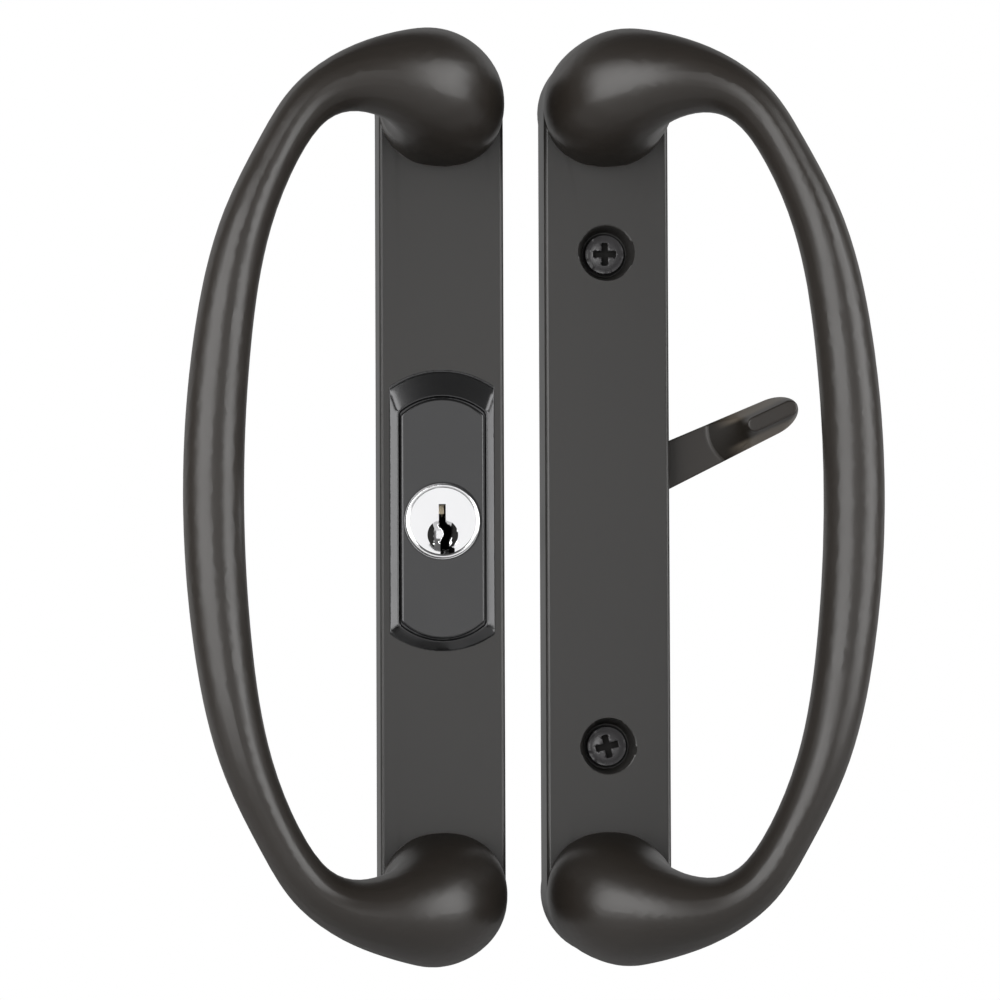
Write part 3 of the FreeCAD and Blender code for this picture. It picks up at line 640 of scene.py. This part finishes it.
def thread(name, height):
    """The ridge of one screw's thread."""
    turns = int((screw_high[1] - thread_start) / thread_pitch) - 1
    bpy.ops.object.select_all(action="DESELECT")
    bpy.ops.mesh.primitive_circle_add(vertices=4, radius=thread_depth, fill_type="NOTHING")
    ridge = bpy.context.object
    ridge.name = name
    bpy.ops.object.mode_set(mode="EDIT")
    bpy.ops.mesh.select_all(action="SELECT")
    bpy.ops.transform.resize(value=(1.0, 0.92 * thread_pitch / 2 / thread_depth, 1.0))
    bpy.ops.transform.translate(value=(core_radius, thread_start + thread_pitch / 2, 0.0))
    bpy.ops.object.mode_set(mode="OBJECT")
    winding = ridge.modifiers.new("winding", "SCREW")
    winding.axis = "Y"
    winding.screw_offset = thread_pitch
    winding.iterations = turns
    winding.steps = 20
    winding.render_steps = 20
    bpy.ops.object.modifier_apply(modifier="winding")
    bpy.ops.object.mode_set(mode="EDIT")
    bpy.ops.mesh.select_all(action="SELECT")
    bpy.ops.mesh.fill_holes(sides=4)
    bpy.ops.mesh.select_all(action="SELECT")
    bpy.ops.mesh.normals_make_consistent(inside=False)
    bpy.ops.transform.translate(value=(0.0, 0.0, height))
    bpy.ops.object.mode_set(mode="OBJECT")
    bpy.ops.object.shade_smooth_by_angle(angle=math.radians(40))
    ridge.data.materials.append(finishes["black_screw"])
    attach(ridge, body_of["mounting_screws"])
    return ridge


threads = [thread("upper_screw_thread", screw_heights[0]), thread("lower_screw_thread", screw_heights[1])]
print("thread faces", [len(ridge.data.polygons) for ridge in threads])

# %% [markdown]
# ## The studio
# The photograph shows the two halves upright on plain white. Black paint is mostly seen by what it
# reflects. Each bar has two bright bands with a darker middle, so a tall softbox stands on each side, and
# a weak card in front lifts the flat plates. The backdrop is white to the camera and in reflections, and
# gives only half of that as light. A pale floor lies below the picture and takes the shadow.

# %% Floor
floor_height = cad_box[0][2] - 60 * mm
bpy.ops.object.select_all(action="DESELECT")
bpy.ops.mesh.primitive_circle_add(vertices=96, radius=0.6, fill_type="NGON",
                                  location=(0.0, 0.0, floor_height))
floor = bpy.context.object
floor.name = "studio_floor"
floor_paint, floor_tree, floor_shader = new_finish("studio_floor")
floor_mask = place_group(floor_tree, grain, Scale=150.0)
drift_colour(floor_tree, floor_shader, floor_mask.outputs["Patch"], (0.70, 0.70, 0.70), (0.74, 0.74, 0.74))
floor_shader.inputs["Roughness"].default_value = 0.9
floor.data.materials.append(floor_paint)
print("floor at mm", round(floor_height / mm, 1))

# %% Backdrop and world


def white_where_seen(tree, fill, output):
    """White to the camera and in reflections, and a softer level as fill light."""
    path = tree.nodes.new("ShaderNodeLightPath")
    seen = math_node(tree, "MAXIMUM", path.outputs["Is Camera Ray"], path.outputs["Is Glossy Ray"])
    seen = math_node(tree, "MAXIMUM", seen, path.outputs["Is Transmission Ray"])
    level = math_node(tree, "MAXIMUM", seen, fill)
    glow = tree.nodes.new("ShaderNodeEmission")
    tree.links.new(level, glow.inputs["Strength"])
    tree.links.new(glow.outputs[0], output.inputs["Surface"])


bpy.ops.object.select_all(action="DESELECT")
bpy.ops.mesh.primitive_plane_add(size=4.0, location=(0.0, 1.6, 0.0), rotation=(math.pi / 2, 0.0, 0.0))
backdrop = bpy.context.object
backdrop.name = "studio_backdrop"
backdrop_paper = bpy.data.materials.new("studio_backdrop")
backdrop_paper.use_nodes = True
backdrop_paper.node_tree.nodes.remove(backdrop_paper.node_tree.nodes["Principled BSDF"])
white_where_seen(backdrop_paper.node_tree, 0.5, backdrop_paper.node_tree.nodes["Material Output"])
backdrop.data.materials.append(backdrop_paper)
world = bpy.data.worlds.new("studio")
world.use_nodes = True
bpy.context.scene.world = world
world.node_tree.nodes["Background"].inputs["Color"].default_value = (0.14, 0.14, 0.14, 1.0)
print("backdrop at m", tuple(round(value, 2) for value in backdrop.location))

# %% Softboxes
look_at = Vector((-16.75, -12.0, 0.0)) * mm


def softbox(name, azimuth_deg, distance, height, size, glow):
    """A rectangular area lamp that faces the handle. Azimuth 0 is the front and 90 the right."""
    azimuth = math.radians(azimuth_deg)
    place = look_at + Vector((math.sin(azimuth) * distance, -math.cos(azimuth) * distance, height))
    lamp = bpy.data.lights.new(name, "AREA")
    lamp.shape = "RECTANGLE"
    lamp.size, lamp.size_y = size
    lamp.energy = math.pi * glow * size[0] * size[1]
    box = bpy.data.objects.new(name, lamp)
    bpy.context.scene.collection.objects.link(box)
    box.location = place
    box.rotation_euler = (look_at - place).to_track_quat("-Z", "Y").to_euler()
    return box


softboxes = [
    softbox("left_softbox", -50.0, 1.0, 0.05, (1.25, 1.3), 4.2),
    softbox("right_softbox", 64.0, 1.0, 0.05, (0.95, 1.3), 4.5),
    softbox("front_card", 0.0, 2.0, 0.0, (2.0, 1.1), 1.0),
]
print("softboxes", [box.name for box in softboxes])

# %% [markdown]
# ## The camera
# The view was worked out from the picture: slightly from the left and slightly from below, with a long
# lens. The camera stands at that angle and distance from the middle of the two plates, and is aimed a
# little to the left of it, because the pair isn't quite in the middle of the picture.

# %% Camera
view_azimuth = math.radians(-4.012)
view_elevation = math.radians(-2.5625)
view_roll = math.radians(-0.228)
view_distance = 1065.4 * mm
scale_px = 4.9483            # pixels for a millimetre at the plates
picture_px = 1000
middle_px = (524.96, 499.06)  # where the middle of the pair lands in the picture
back = Vector((math.sin(view_azimuth) * math.cos(view_elevation),
               -math.cos(view_azimuth) * math.cos(view_elevation), math.sin(view_elevation)))
right = Vector((0.0, 0.0, 1.0)).cross(back).normalized()
up = back.cross(right)
aim_right = (picture_px / 2 - middle_px[0]) / scale_px * mm
aim_up = (middle_px[1] - picture_px / 2) / scale_px * mm
stand = look_at + back * view_distance
back = (stand - (look_at + right * aim_right + up * aim_up)).normalized()
right = Vector((0.0, 0.0, 1.0)).cross(back).normalized()
up = back.cross(right)
lens = bpy.data.cameras.new("product_camera")
lens.sensor_width = 36.0
lens.lens = 36.0 * scale_px * view_distance / mm / picture_px
lens.clip_start = 0.01
camera = bpy.data.objects.new("product_camera", lens)
bpy.context.scene.collection.objects.link(camera)
tilt = Matrix((right, up, back)).transposed().to_4x4() @ Matrix.Rotation(view_roll, 4, "Z")
camera.matrix_world = Matrix.Translation(stand) @ tilt
bpy.context.scene.camera = camera
bpy.context.scene.view_settings.view_transform = "Standard"
print("lens mm", round(lens.lens, 1), "camera at mm", [round(value / mm) for value in stand])
